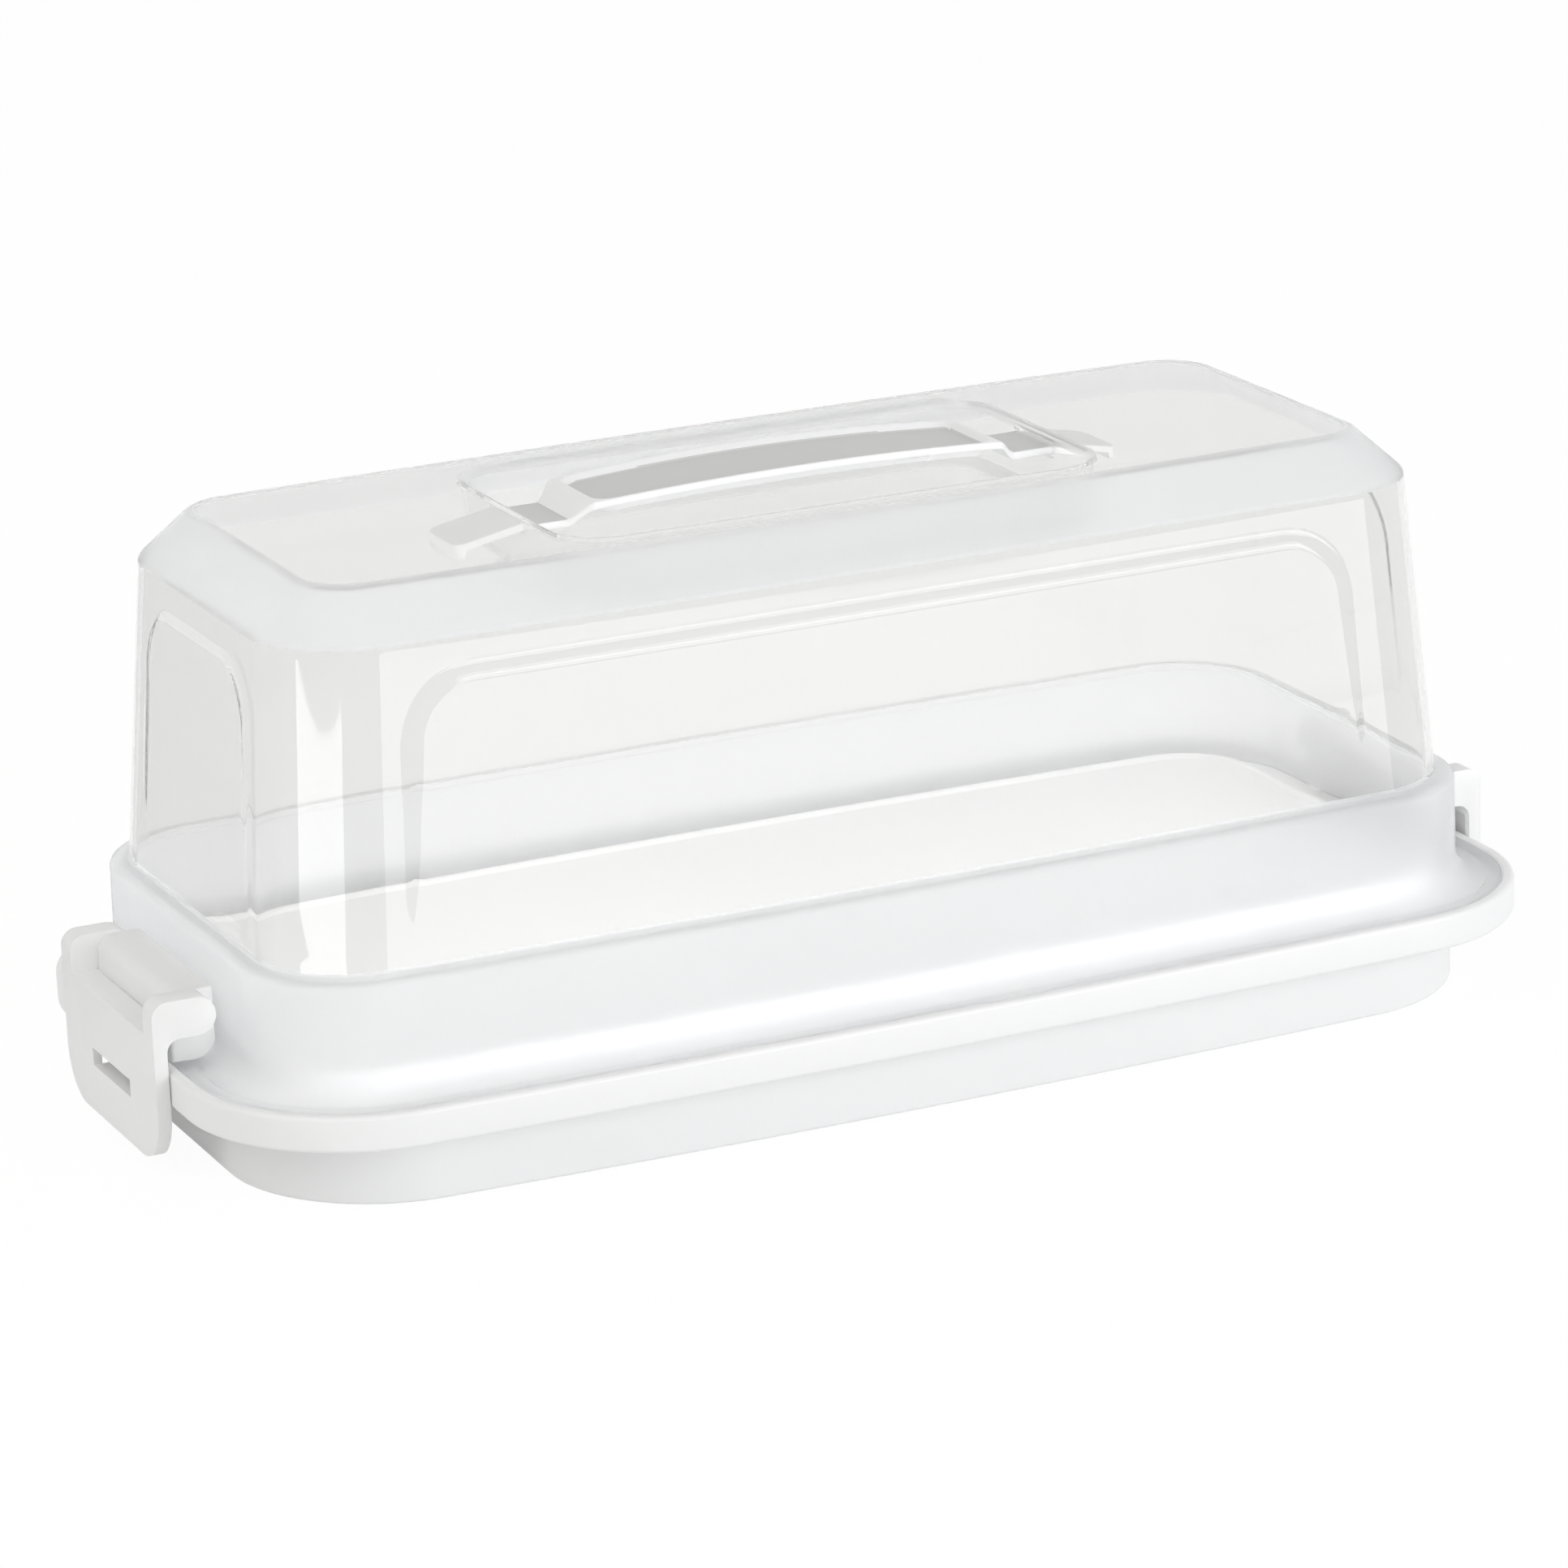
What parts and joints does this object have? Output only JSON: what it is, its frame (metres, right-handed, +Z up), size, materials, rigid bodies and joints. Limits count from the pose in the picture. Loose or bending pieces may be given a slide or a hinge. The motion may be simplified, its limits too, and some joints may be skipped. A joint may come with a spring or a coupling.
{
  "type": "loaf cake carrier",
  "caption": "Oblong loaf-cake carrier: a rimmed tray, a deep translucent lift-off hood held by hinged side clips, and a strap handle over a hand recess in the top.",
  "frame": {"origin": "on the table under the middle of the tray", "axes": "+X along the length, -Y the front, +Z up"},
  "size_m": [0.4084, 0.1996, 0.1655],
  "materials": {
    "tray_white": "satin moulded polypropylene, opaque white",
    "hood_clear": "translucent moulded polypropylene, polished walls, finely frosted skirt, flange and bevel",
    "handle_white": "satin moulded polypropylene, opaque white",
    "clip_white": "satin moulded polypropylene, opaque white"
  },
  "bodies": {
    "tray": {"base_tray": "tray_white"},
    "hood": {"hood": "hood_clear"},
    "handle": {"handle": "handle_white"},
    "clip_left": {"clip_left": "clip_white"},
    "clip_right": {"clip_right": "clip_white"}
  },
  "joints": [
    {"name": "hood_lift", "type": "slide", "parent": "tray", "child": "hood", "axis": [0, 0, 1], "range_m": [0, 0.18]},
    {"name": "handle_lift", "type": "slide", "parent": "hood", "child": "handle", "axis": [0, 0, 1], "range_m": [0, 0.001]},
    {"name": "clip_left_hinge", "type": "hinge", "parent": "hood", "child": "clip_left", "pos_m": [-0.1914, 0, 0.0455], "axis": [0, 1, 0], "range_deg": [0, 95]},
    {"name": "clip_right_hinge", "type": "hinge", "parent": "hood", "child": "clip_right", "pos_m": [0.1914, 0, 0.0455], "axis": [0, -1, 0], "range_deg": [0, 95]}
  ]
}
